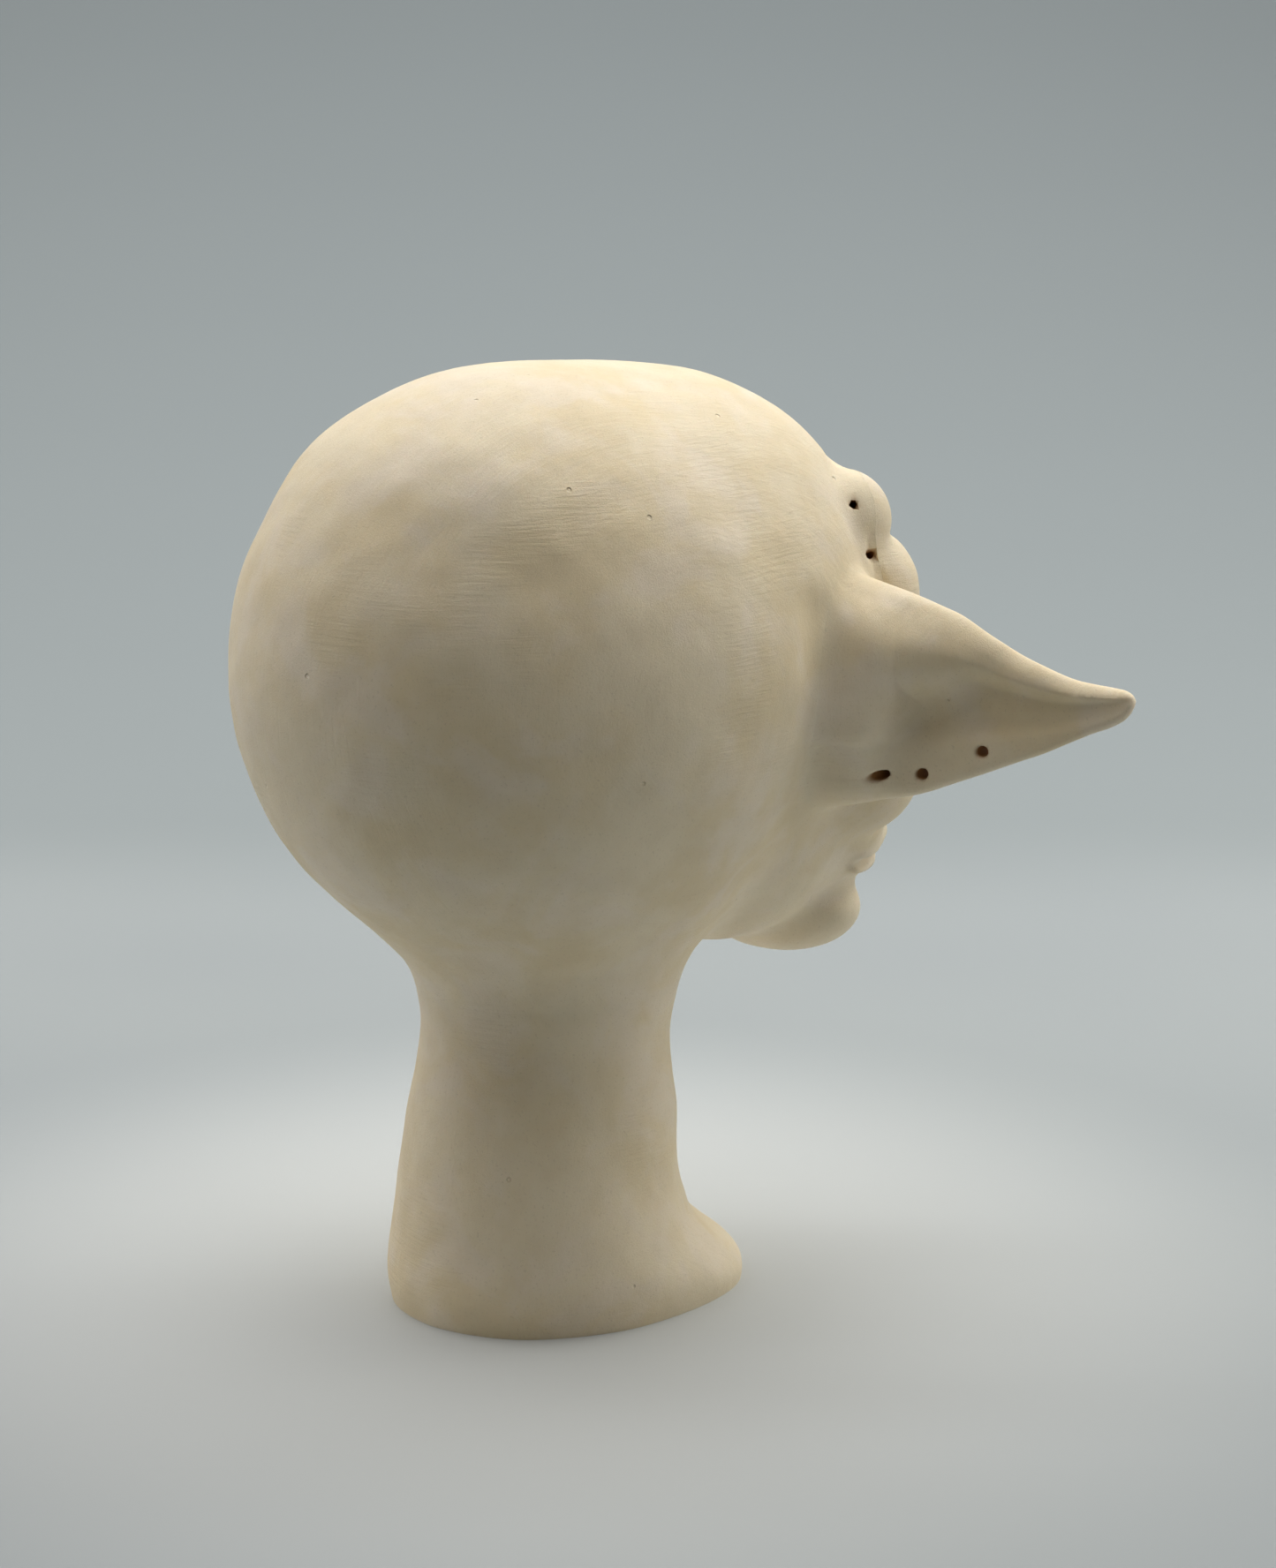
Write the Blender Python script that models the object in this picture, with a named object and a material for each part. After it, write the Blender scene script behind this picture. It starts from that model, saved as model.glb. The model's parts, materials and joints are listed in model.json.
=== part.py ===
"""A sculpted creature head that stands on its own neck, as the pieces it is built from.

A clay skin in four parts (skull, face, two ears) sits on a foam egg. The egg is pushed onto a wooden post,
the post runs down through the neck, and a wooden disc in the foot of the neck holds its lower end.

Frame: +Z up, the face looks along -Y, the head's own left is +X. The origin is the middle of the underside.
All the sizes below are millimetres.
"""

import math

import bmesh
import bpy
from mathutils import Matrix, Vector

MM = 0.001
SIDES = (("left", 1), ("right", -1))
GAP = 0.3  # clearance between two pieces that touch
VOXEL = 1.4  # grain of the melted clay form
FORM_FACES = 3800  # triangles of the clay form once it is thinned out

# Clay form: each ball is a centre and three radii. BROW, EYELID and CHEEK are the left one of a pair.
CRANIUM = (0, 2, 115)
CRANIUM_RADII = (47.5, 54.3, 50.5)
CRANIUM_DROP = 53.5  # the half of the cranium under its centre is this deep
CROWN = ((0, -12, 119), (43, 45.5, 45.8))
FOREHEAD = ((0, -25, 120.5), (38.5, 38.5, 42.5))
FACE_MASS = ((0, -38, 92), (30, 28, 34))
MUZZLE = ((0, -55, 76), (23, 15, 9))
CHIN = ((0, -52, 65), (20, 15, 8.5))
NOSE = ((0, -70, 99), (10, 14, 11))
BROW = ((19, -51, 133), (13, 9.5, 10))
EYELID = ((22, -54, 120), (13, 12, 11.5))
CHEEK = ((22, -53, 92), (13, 11, 13))

# Neck: height, half width, front and back of each level.
NECK_LEVELS = (
    (-4, 27.0, -34.5, 28.5),
    (1.5, 27.8, -36.5, 29.0),
    (6, 28.0, -36.5, 28.7),
    (10, 27.5, -32.5, 28.3),
    (14, 26.5, -27.0, 27.7),
    (22, 24.8, -24.0, 26.8),
    (38, 23.0, -23.5, 24.5),
    (52, 22.2, -23.0, 22.4),
    (64, 24.5, -26.0, 24.5),
    (72, 30.0, -30.0, 30.0),
)
NECK_TOP = 57  # the neck meets the skull at this height
NECK_CUT = 29  # and inside this distance of the neck's axis
UNDER = -10  # a height well below the underside

# Side view (y, z) of the seam between face and skull: over the brows, before the ears, down the jaw.
SEAM = ((-75, 150), (-57, 147.5), (-49.5, 144), (-48.5, 136), (-50, 126), (-50, 92), (-41, 72), (-33, 59))

# Ear: levels along the blade as distance from its root, upper edge, lower edge and half thickness.
EAR_ROOT = Vector((34, -40, 108.5))
EAR_REACH = Vector((0.857, -0.515, 0)).normalized()
EAR_LEVELS = (
    (-5, 18.5, -17.5, 5.0),
    (-1, 19.5, -18, 6.0),
    (5, 20.3, -18.3, 5.2),
    (11, 18.8, -17.5, 3.6),
    (18, 15.2, -15, 2.6),
    (26, 10.0, -12, 2.3),
    (34, 5.8, -8.8, 2.1),
    (41, 3.4, -4.6, 1.9),
    (47, 2.4, -1.8, 1.5),
    (50.5, 1.6, -0.4, 0.8),
)
EAR_PAD = (11.5, 8.8, 24)  # reach, depth and height, as radii, of the pad of head that the ear grows from
PIERCING_RADIUS = 1.0
EAR_PIERCINGS = ((3.5, -14.0), (10, -14.3), (20.5, -9.5))  # along the blade, above its middle line
BROW_PIERCINGS = ((27.9, -46.4, 139.6), (31.4, -46.5, 131.3))
PIERCING_DEPTH = 5

# Inside.
CORE = ((0, -6, 112), (35, 47, 41))
POST_RADIUS = 6
POST_BOTTOM = 3
POST_TOP = 98
DISC_RADIUS = 16
DISC_THICKNESS = 8
WIRE_RADIUS = 1
WIRE_HEIGHTS = {"upper": 8, "lower": -8}  # from the ear's middle line
WIRE_IN_EAR = 8
WIRE_IN_HEAD = 14
EYE = (21, -55.5, 120)
EYE_RADIUS = 8.6
EYE_LOOK = Vector((0.3, -1, -0.05)).normalized()
EYE_SLIT = (7.5, 6, 3.6)  # half width, depth and half height of the opening between the lids
PIN_RADIUS = 1.5
PIN_LENGTH = 12
FACE_PINS = {  # the middle of each pin that joins face and skull
    "right": (-22, -50, 101),
    "left": (22, -50, 101),
    "brow": (0, -48.5, 138.5),
    "chin": (0, -42.5, 75),
}

CLAY = ("clay", (0.74, 0.66, 0.52), 0.75, 0.0)
FOAM = ("foam", (0.85, 0.87, 0.88), 0.9, 0.0)
WOOD = ("beech", (0.62, 0.44, 0.26), 0.6, 0.0)
STEEL = ("steel", (0.62, 0.62, 0.62), 0.35, 1.0)


def clear_scene():
    for obj in list(bpy.data.objects):
        bpy.data.objects.remove(obj)


def material(name, colour, roughness, metallic):
    made = bpy.data.materials.get(name) or bpy.data.materials.new(name)
    made.use_nodes = True
    shader = made.node_tree.nodes["Principled BSDF"]
    shader.inputs["Base Color"].default_value = (*colour, 1)
    shader.inputs["Roughness"].default_value = roughness
    shader.inputs["Metallic"].default_value = metallic
    return made


def add_object(name, mesh, finish=None):
    """An object on this mesh. One with no finish is a helper and isn't part of the model."""
    obj = bpy.data.objects.new(name, mesh)
    bpy.context.scene.collection.objects.link(obj)
    if finish:
        mesh.materials.clear()
        mesh.materials.append(material(*finish))
    else:
        obj.hide_render = True
        obj.display_type = "WIRE"
    return obj


def mesh_of(name, bm):
    """A mesh in metres from a bmesh drawn in millimetres."""
    bmesh.ops.scale(bm, vec=(MM, MM, MM), verts=bm.verts)
    bmesh.ops.recalc_face_normals(bm, faces=bm.faces)
    mesh = bpy.data.meshes.new(name)
    bm.to_mesh(mesh)
    bm.free()
    mesh.shade_smooth()
    mesh.set_sharp_from_angle(angle=math.radians(40))
    return mesh


def add_ball(bm, centre, radii, drop=None, segments=32):
    """An ellipsoid. With drop, the half under its centre is that deep instead."""
    rings = segments * 5 // 8
    ball = bmesh.ops.create_uvsphere(bm, u_segments=segments, v_segments=rings, radius=1)
    for vert in ball["verts"]:
        lowest = drop if drop and vert.co.z < 0 else radii[2]
        vert.co = Vector(centre) + Vector((vert.co.x * radii[0], vert.co.y * radii[1], vert.co.z * lowest))


def add_rod(bm, start, end, radius, segments=12):
    """A round bar from start to end."""
    start = Vector(start)
    along = Vector(end) - start
    place = Matrix.Translation(start + along / 2) @ along.to_track_quat("Z", "Y").to_matrix().to_4x4()
    bmesh.ops.create_cone(
        bm,
        cap_ends=True,
        segments=segments,
        radius1=radius,
        radius2=radius,
        depth=along.length,
        matrix=place,
    )


def add_loft(bm, rings):
    """A closed skin over rings that have equal numbers of points."""
    loops = [[bm.verts.new(point) for point in ring] for ring in rings]
    count = len(loops[0])
    for lower, upper in zip(loops, loops[1:]):
        for i in range(count):
            j = (i + 1) % count
            bm.faces.new((lower[i], lower[j], upper[j], upper[i]))
    bm.faces.new(loops[0])
    bm.faces.new(loops[-1])


def mirrored(point, side):
    return Vector((point[0] * side, point[1], point[2]))


def evaluated_mesh(obj):
    graph = bpy.context.evaluated_depsgraph_get()
    return bpy.data.meshes.new_from_object(obj.evaluated_get(graph))


def cut(obj, cutter, operation="DIFFERENCE"):
    boolean = obj.modifiers.new(cutter.name, "BOOLEAN")
    boolean.operation = operation
    boolean.object = cutter
    boolean.solver = "EXACT"


def neck_rings(segments=40):
    for height, half_width, front, back in NECK_LEVELS:
        middle = (front + back) / 2
        half_depth = (back - front) / 2
        turns = [2 * math.pi * i / segments for i in range(segments)]
        yield [(half_width * math.cos(a), middle + half_depth * math.sin(a), height) for a in turns]


def clay_form():
    """Head and neck as one lump of clay: balls and a lofted neck melted together, then smoothed."""
    bm = bmesh.new()
    add_ball(bm, CRANIUM, CRANIUM_RADII, CRANIUM_DROP, 64)
    for ball in (CROWN, FOREHEAD, FACE_MASS, MUZZLE, CHIN, NOSE):
        add_ball(bm, *ball, segments=48)
    for centre, radii in (BROW, EYELID, CHEEK):
        for side in (1, -1):
            add_ball(bm, mirrored(centre, side), radii)
    add_loft(bm, list(neck_rings()))
    form = add_object("clay_form", mesh_of("clay_form", bm))
    melt = form.modifiers.new("melt", "REMESH")
    melt.mode = "VOXEL"
    melt.voxel_size = VOXEL * MM
    soften = form.modifiers.new("soften", "SMOOTH")
    soften.factor = 0.5
    soften.iterations = 6
    thin = form.modifiers.new("thin", "DECIMATE")
    faces = len(evaluated_mesh(form).polygons) * 2
    thin.ratio = FORM_FACES / faces
    thin.use_symmetry = True
    thin.symmetry_axis = "X"
    mesh = evaluated_mesh(form)
    bpy.data.objects.remove(form)
    return mesh


def seam_block(name, inset):
    """A block that holds all that lies in front of the seam, with its back drawn in by inset."""
    seam = [(y - inset, z - inset) for y, z in SEAM]
    outline = [(-110, seam[0][1]), *seam, (seam[-1][0], 40), (-110, 40)]
    bm = bmesh.new()
    add_loft(bm, [[(x, y, z) for y, z in outline] for x in (-60, 60)])
    return add_object(name, mesh_of(name, bm))


def neck_block(name, bottom, margin):
    """A stepped round block that holds the neck: wide round the foot, narrower under the jaw."""
    steps = ((60, bottom), (60, 50), (NECK_CUT + margin, 50), (NECK_CUT + margin, NECK_TOP + margin))
    turns = [2 * math.pi * i / 48 for i in range(48)]
    bm = bmesh.new()
    add_loft(bm, [[(r * math.cos(a), r * math.sin(a), z) for a in turns] for r, z in steps])
    return add_object(name, mesh_of(name, bm))


def rods(name, finish, *bars):
    """One object of round bars, each given as start, end and radius."""
    bm = bmesh.new()
    for bar in bars:
        add_rod(bm, *bar)
    return add_object(name, mesh_of(name, bm), finish)


def ball(name, finish, centre, radii, segments=18):
    bm = bmesh.new()
    add_ball(bm, centre, radii, segments=segments)
    return add_object(name, mesh_of(name, bm), finish)


def thicker(radii, extra=GAP):
    return [radius + extra for radius in radii]


def ear_point(side, along, up, out=0):
    """A point given along the ear blade, above its middle line and out of its rear face."""
    rear = Vector((-EAR_REACH.y, EAR_REACH.x, 0))
    return mirrored(EAR_ROOT + EAR_REACH * along + rear * out + Vector((0, 0, up)), side)


def ear_wire(side, height, extra):
    """Start, end and radius of a wire that holds an ear, or of its hole if extra is the clearance."""
    start = ear_point(side, WIRE_IN_EAR + extra, height)
    end = ear_point(side, -WIRE_IN_HEAD - extra, height)
    return start, end, WIRE_RADIUS + extra


def face_pin(middle, extra):
    reach = Vector((0, PIN_LENGTH / 2 + extra, 0))
    return Vector(middle) - reach, Vector(middle) + reach, PIN_RADIUS + extra


def brow_piercing(side, point):
    """A short blind hole that points at the middle of the head."""
    mouth = mirrored(point, side)
    inward = (Vector(CORE[0]) - mouth).normalized()
    return mouth - inward * 3, mouth + inward * PIERCING_DEPTH, PIERCING_RADIUS


def ear_piercing(side, along, up):
    return ear_point(side, along, up, -15), ear_point(side, along, up, 15), PIERCING_RADIUS


def post(extra):
    return (0, 0, POST_BOTTOM - extra), (0, 0, POST_TOP + extra), POST_RADIUS + extra, 24


def disc(extra):
    return (0, 0, -10 * extra), (0, 0, DISC_THICKNESS + extra), DISC_RADIUS + extra, 40


def ear_pad(name, side, extra=0):
    """An ellipsoid about the ear's root, its long radius upright."""
    bm = bmesh.new()
    bmesh.ops.create_uvsphere(bm, u_segments=24, v_segments=14, radius=1)
    along, rear, up = thicker(EAR_PAD, extra)
    for vert in bm.verts:
        vert.co = ear_point(side, vert.co.x * along, vert.co.z * up, vert.co.y * rear)
    return add_object(name, mesh_of(name, bm))


def make_ear(name, side, form):
    """The blade, joined to the pad of the clay form that it grows from."""
    bm = bmesh.new()
    turns = [2 * math.pi * i / 18 for i in range(14)]
    rings = []
    for along, top, bottom, half_thickness in EAR_LEVELS:
        middle = (top + bottom) / 2
        half_height = (top - bottom) / 2
        rings.append(
            [
                ear_point(side, along, middle + half_height * math.cos(a), half_thickness * math.sin(a))
                for a in turns
            ]
        )
    add_loft(bm, rings)
    ear = add_object(name, form.copy(), CLAY)
    cut(ear, ear_pad(name + "_pad", side), "INTERSECT")
    cut(ear, add_object(name + "_blade", mesh_of(name, bm)), "UNION")
    cut(ear, rods(name + "_piercings", None, *(ear_piercing(side, *spot) for spot in EAR_PIERCINGS)))
    return ear


def make_skull(form, core_hole, holes):
    skull = add_object("skull_shell", form.copy(), CLAY)
    cut(skull, seam_block("seam_at_skull", 0))
    cut(skull, neck_block("neck_hole", UNDER, GAP))
    cut(skull, core_hole)
    piercings = [brow_piercing(side, point) for side in (1, -1) for point in BROW_PIERCINGS]
    cut(skull, rods("brow_piercings", None, *piercings))
    for hole in holes:
        cut(skull, hole)


def make_face(form, core_hole, holes):
    face = add_object("face_shell", form.copy(), CLAY)
    cut(face, seam_block("seam_at_face", GAP), "INTERSECT")
    cut(face, neck_block("neck_hole_in_face", UNDER, GAP))
    cut(face, core_hole)
    for hole in holes:
        cut(face, hole)
    for side in (1, -1):
        opening = mirrored(EYE, side) + mirrored(EYE_LOOK, side) * EYE_RADIUS
        cut(face, ball("eye_slit", None, opening, EYE_SLIT))


def make_neck(form):
    neck = add_object("neck_column", form.copy(), CLAY)
    cut(neck, neck_block("neck_bounds", 0, 0), "INTERSECT")
    cut(neck, rods("disc_recess", None, disc(GAP)))
    cut(neck, rods("neck_bore", None, post(GAP)))


def make_base():
    base = rods("base_disc", WOOD, disc(0))
    cut(base, rods("base_socket", None, post(GAP)))
    rods("neck_post", WOOD, post(0))


def main():
    clear_scene()
    form = clay_form()
    core_hole = ball("core_hole", None, CORE[0], thicker(CORE[1]), 28)
    post_hole = rods("post_hole", None, post(GAP))
    pin_holes = rods("pin_holes", None, *(face_pin(middle, GAP) for middle in FACE_PINS.values()))
    wires = [(side, height) for _, side in SIDES for height in WIRE_HEIGHTS.values()]
    wire_holes = rods("wire_holes", None, *(ear_wire(*wire, GAP) for wire in wires))

    socket = thicker([EYE_RADIUS] * 3)
    sockets = [ball("eye_socket_" + name, None, mirrored(EYE, side), socket) for name, side in SIDES]
    pads = [ear_pad("ear_recess_" + name, side, GAP) for name, side in SIDES]
    make_skull(form, core_hole, (post_hole, pin_holes, wire_holes, *sockets, *pads))
    make_face(form, core_hole, (pin_holes, *sockets))
    make_neck(form)
    make_base()
    core = ball("foam_core", FOAM, *CORE, 28)
    for hole in (post_hole, pin_holes, wire_holes):
        cut(core, hole)
    for name, side in SIDES:
        ball("eye_" + name, CLAY, mirrored(EYE, side), [EYE_RADIUS] * 3)
        ear = make_ear("ear_" + name, side, form)
        cut(ear, core_hole)
        cut(ear, wire_holes)
        for place, height in WIRE_HEIGHTS.items():
            rods(f"ear_wire_{name}_{place}", STEEL, ear_wire(side, height, 0))
    for place, middle in FACE_PINS.items():
        rods("face_pin_" + place, WOOD, face_pin(middle, 0))


main()
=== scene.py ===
"""Looks of the sculpted creature head: fine clay surfaces on the CAD frame, materials, light and camera.

The clay is carved as one solid field, a function that is negative inside the clay. Each clay piece is the
part of that field inside the walls where its CAD node meets its neighbours, drawn as a fine mesh. Lengths in
the sculpting part are millimetres, and forms that come in pairs are made once, on the head's left (+X).
"""

import json
import math

import bmesh
import bpy
import numpy as np
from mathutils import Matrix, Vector


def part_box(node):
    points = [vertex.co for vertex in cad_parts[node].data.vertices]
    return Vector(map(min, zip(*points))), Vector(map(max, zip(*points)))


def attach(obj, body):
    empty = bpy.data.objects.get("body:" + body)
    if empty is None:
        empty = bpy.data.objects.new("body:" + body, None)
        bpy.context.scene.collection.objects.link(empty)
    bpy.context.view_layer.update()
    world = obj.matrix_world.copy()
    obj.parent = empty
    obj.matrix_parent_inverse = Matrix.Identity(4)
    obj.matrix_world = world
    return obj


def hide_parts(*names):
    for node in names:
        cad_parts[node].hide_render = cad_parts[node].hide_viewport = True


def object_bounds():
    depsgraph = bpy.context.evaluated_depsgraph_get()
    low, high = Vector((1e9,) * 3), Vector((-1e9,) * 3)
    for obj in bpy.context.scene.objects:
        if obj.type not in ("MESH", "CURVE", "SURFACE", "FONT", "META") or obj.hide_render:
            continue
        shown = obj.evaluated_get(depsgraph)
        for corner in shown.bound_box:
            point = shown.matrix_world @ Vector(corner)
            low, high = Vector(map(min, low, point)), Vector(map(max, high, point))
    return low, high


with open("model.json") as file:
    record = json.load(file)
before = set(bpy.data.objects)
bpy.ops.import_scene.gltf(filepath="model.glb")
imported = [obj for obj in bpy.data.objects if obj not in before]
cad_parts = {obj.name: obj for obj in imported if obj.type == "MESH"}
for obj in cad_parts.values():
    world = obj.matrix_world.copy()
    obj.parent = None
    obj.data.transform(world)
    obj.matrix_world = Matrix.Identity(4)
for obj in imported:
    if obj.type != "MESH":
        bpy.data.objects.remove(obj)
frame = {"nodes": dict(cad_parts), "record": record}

MM = 0.001
CAD_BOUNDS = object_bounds()

# ---- places, from the frame -------------------------------------------------------------------------------


def box_mm(node):
    low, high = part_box(node)
    return np.array(low) / MM, np.array(high) / MM


def middle_mm(*nodes):
    return np.mean([np.mean(box_mm(node), axis=0) for node in nodes], axis=0)


def radii_mm(node):
    low, high = box_mm(node)
    return (high - low) / 2


FACE_FRONT = box_mm("face_shell")[0][1]
EYE = middle_mm("eye_left")
EYE_RADIUS = radii_mm("eye_left")[2]
CORE = middle_mm("foam_core")
CORE_RADII = radii_mm("foam_core")
POST_RADIUS = radii_mm("neck_post")[0]
POST_TOP = box_mm("neck_post")[1][2]
DISC_RADIUS = radii_mm("base_disc")[0]
DISC_TOP = box_mm("base_disc")[1][2]
REACH = np.array((0.857, -0.515, 0))  # the way that an ear points
REARWARD = np.array((0.515, 0.857, 0))  # square to it, out of the back of the ear
EAR_ROOT = middle_mm("ear_wire_left_upper", "ear_wire_left_lower") + 3 * REACH

# ---- fields -----------------------------------------------------------------------------------------------


def ball(p, centre, radii):
    """Distance to an ellipsoid, close to true near its surface."""
    radii = np.asarray(radii, np.float32)
    q = (p - np.asarray(centre, np.float32)) / radii
    size = np.sqrt((q * q).sum(-1)) + 1e-6
    slope = np.sqrt(((q / radii) ** 2).sum(-1)) + 1e-6
    return size * (size - 1) / slope


def bar(p, points, radii):
    """Distance to a round bar that runs through the points and has a radius at each."""
    points = np.asarray(points, np.float32)
    nearest = np.full(p.shape[:-1], 1e9, np.float32)
    for i, start in enumerate(points[:-1]):
        along = points[i + 1] - start
        t = np.clip((p - start) @ along / (along @ along), 0, 1)
        reach = np.sqrt((((p - start) - t[..., None] * along) ** 2).sum(-1))
        nearest = np.minimum(nearest, reach - radii[i] - (radii[i + 1] - radii[i]) * t)
    return nearest


def groove(p, points, width, depth):
    """How much clay a soft groove along the points takes away."""
    reach = np.maximum(bar(p, points, [0] * len(points)), 0)
    return depth * np.exp(-((reach / width) ** 2))


def shared(a, b, edge):
    """What two fields have in common, with a rounded edge."""
    return -join(-a, -b, edge)


def smooth(t):
    t = np.clip(t, 0, 1)
    return t * t * (3 - 2 * t)


def join(a, b, fillet):
    t = np.clip(0.5 + 0.5 * (b - a) / fillet, 0, 1)
    return b + (a - b) * t - fillet * t * (1 - t)


def carve(a, b, edge):
    """Field a less field b, with a rounded edge."""
    return -join(-a, b, edge)


def curve_at(x, points):
    """A smooth curve through (x, value) points."""
    xs, ys = np.array(points, np.float32).T
    slopes = np.gradient(ys, xs)
    i = np.clip(np.searchsorted(xs, x) - 1, 0, len(xs) - 2)
    step = xs[i + 1] - xs[i]
    t = np.clip((x - xs[i]) / step, 0, 1)
    rise = ys[i + 1] - ys[i]
    lead = slopes[i] * step - rise
    trail = rise - slopes[i + 1] * step
    return ys[i] + t * rise + t * (1 - t) * (lead * (1 - t) + trail * t)


def outline(across, up, points):
    """Signed distance to a closed outline in a plane, negative inside it."""
    nearest = np.full(np.shape(across), 1e9, np.float32)
    inside = np.zeros(np.shape(across), bool)
    for (x0, y0), (x1, y1) in zip(points, points[1:] + points[:1]):
        dx, dy = x1 - x0, y1 - y0
        t = np.clip(((across - x0) * dx + (up - y0) * dy) / (dx * dx + dy * dy), 0, 1)
        nearest = np.minimum(nearest, (across - x0 - t * dx) ** 2 + (up - y0 - t * dy) ** 2)
        if dy:
            inside ^= ((y0 > up) != (y1 > up)) & (across < x0 + (up - y0) * dx / dy)
    return np.where(inside, -1, 1) * np.sqrt(nearest)


def folded(p):
    """The point on the head's left that has the same form as p."""
    return np.concatenate([np.abs(p[..., :1]), p[..., 1:]], axis=-1)


RIPPLE_WAVES = 7


def ripples(p, length, seed):
    """A smooth random field, about -1 to 1, whose bumps are about this long."""
    random = np.random.default_rng(seed)
    total = 0
    for _ in range(RIPPLE_WAVES):
        way = random.normal(size=3)
        way *= random.uniform(0.7, 1.3) / np.linalg.norm(way)
        start = random.uniform(0, math.tau)
        total = total + np.sin((p @ way.astype(np.float32)) * (math.tau / length) + start)
    return total / 4


# ---- the head ---------------------------------------------------------------------------------------------

CRANIUM = (0, 2, 115)
CRANIUM_RADII = (47.5, 54.3, 50.5)
CRANIUM_DROP = 54.3  # how deep its lower half is
CRANIUM_SQUARENESS = 0.12  # how much squarer than an ellipsoid its upper back is
FACE_BACK = -30  # no form of the face reaches behind this
FOREHEAD = ((0, -25.3, 120), (39, 38.8, 42.3))
FACE_MASS = ((0, -38, 92), (30, 28, 34))
# The neck as (height, half width), (height, front) and (height, back).
NECK_SIDE = (
    (-6, 26), (0, 27.4), (3, 28), (8, 28), (13, 26.8), (20, 25.1), (30, 23.8),
    (52, 22.2), (64, 24.3), (74, 29.5), (84, 34),
)
NECK_FRONT = (
    (-6, -34), (0, -36.4), (3, -36), (6, -33.8), (9.5, -29.8), (13.5, -25.8), (18, -24.2), (35, -23.4),
    (52, -22.9), (64, -27.2), (74, -32.5), (84, -36),
)
TOE_SQUARENESS = 0.4  # how much squarer than an ellipse the front of the foot is
NECK_BACK = ((-6, 28), (0, 28.6), (3, 29), (15, 27.7), (30, 25.8), (52, 22.4), (64, 25), (74, 30), (84, 34))
NECK_END = 84  # how high the neck's form reaches up into the skull
SKULL_FILLET = 9  # how softly the forehead, and the neck, run into the skull
FACE_FILLET = 10


def cranium(p):
    """An egg whose upper back is squarer than an ellipsoid."""
    q = p - np.array(CRANIUM, np.float32)
    drop = np.where(q[..., 2] > 0, CRANIUM_RADII[2], CRANIUM_DROP)
    radii = np.stack(np.broadcast_arrays(*CRANIUM_RADII[:2], drop), axis=-1).astype(np.float32)
    squareness = 2 + CRANIUM_SQUARENESS * smooth((q[..., 1] + 15) / 40) * smooth((q[..., 2] - 18) / 26)
    q = np.abs(q) / radii
    size = (q ** squareness[..., None]).sum(-1) ** (1 / squareness) + 1e-6
    slope = np.sqrt(((q / radii) ** 2).sum(-1)) + 1e-6
    return size * (size - 1) / slope


def neck(p):
    z = p[..., 2]
    side, front, back = (curve_at(z, levels) for levels in (NECK_SIDE, NECK_FRONT, NECK_BACK))
    depth = (back - front) / 2
    x, y = np.abs(p[..., 0]) / side, (p[..., 1] - (front + back) / 2) / depth
    squareness = 2 + TOE_SQUARENESS * smooth((12 - z) / 10) * smooth(-2 * y)
    size = (x**squareness + np.abs(y) ** squareness) ** (1 / squareness) + 1e-6
    slope = np.sqrt((x / side) ** 2 + (y / depth) ** 2) + 1e-6
    return np.maximum(size * (size - 1) / slope, z - NECK_END)


def by_eye(x, y, z):
    """A place given from the left eye: outward, back and up."""
    return (EYE[0] + x, EYE[1] + y, EYE[2] + z)


def by_nose(x, y, z):
    """A place given from the middle of the face at eye height, at the nose's tip: outward, back and up."""
    return (x, FACE_FRONT + y, EYE[2] + z)


def by_lips(x, y, z):
    """A place given from the middle of the line between the lips: outward, back and up."""
    return (x, EYE[1] - 16 + y, EYE[2] - 45 + z)


EYE_LOOK = np.array((0.3, -1, -0.05)) / np.linalg.norm((0.3, -1, -0.05))
EYE_OUTWARD = np.array((1, 0.3, 0)) / np.linalg.norm((1, 0.3, 0))
LID = 1.9  # how thick the lids are
LID_GAP = 0.12  # how far the clay keeps off the eyeball


def eye_opening(q):
    """The almond between the lids, run back to the eyeball."""
    out = (q - EYE.astype(np.float32)) @ EYE_OUTWARD.astype(np.float32)
    up = q[..., 2] - EYE[2] + 0.5 - 0.06 * out
    front = (q - EYE.astype(np.float32)) @ EYE_LOOK.astype(np.float32)
    upper = np.sqrt(out**2 + (up + 11) ** 2) - 13.6
    lower = np.sqrt(out**2 + (up - 13) ** 2) - 15.2
    return np.maximum(np.maximum(upper, lower), 4 - front)


def brows_and_eyes(q, d):
    ridge = [by_eye(-13, 1.5, 10.5), by_eye(-5, 4, 15.5), by_eye(2, 6.8, 16.5), by_eye(4, 7.5, 9)]
    d = join(d, bar(q, ridge, [5.5, 8.4, 8.6, 6.8]), 3)
    d = join(d, ball(q, by_eye(1.2, 2, 4), (11.5, 10, 10.5)), 1.6)
    d = join(d, ball(q, EYE, [EYE_RADIUS + LID] * 3), 1.6)
    fold = [by_eye(-9, -6.5, 3), by_eye(-3, -6.8, 7), by_eye(5, -6, 6.5), by_eye(10.5, -1.8, 2)]
    d = d + groove(q, fold, 1, 0.6)
    d = carve(d, eye_opening(q), 0.9)
    d = carve(d, ball(q, EYE, [EYE_RADIUS + LID_GAP] * 3), 0.05)
    bag = [by_eye(-9, -6.5, -5), by_eye(-3, -3.5, -9.5), by_eye(5, 1.5, -10), by_eye(11, 5, -6)]
    return d + groove(q, bag, 1.6, 0.6)


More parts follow.
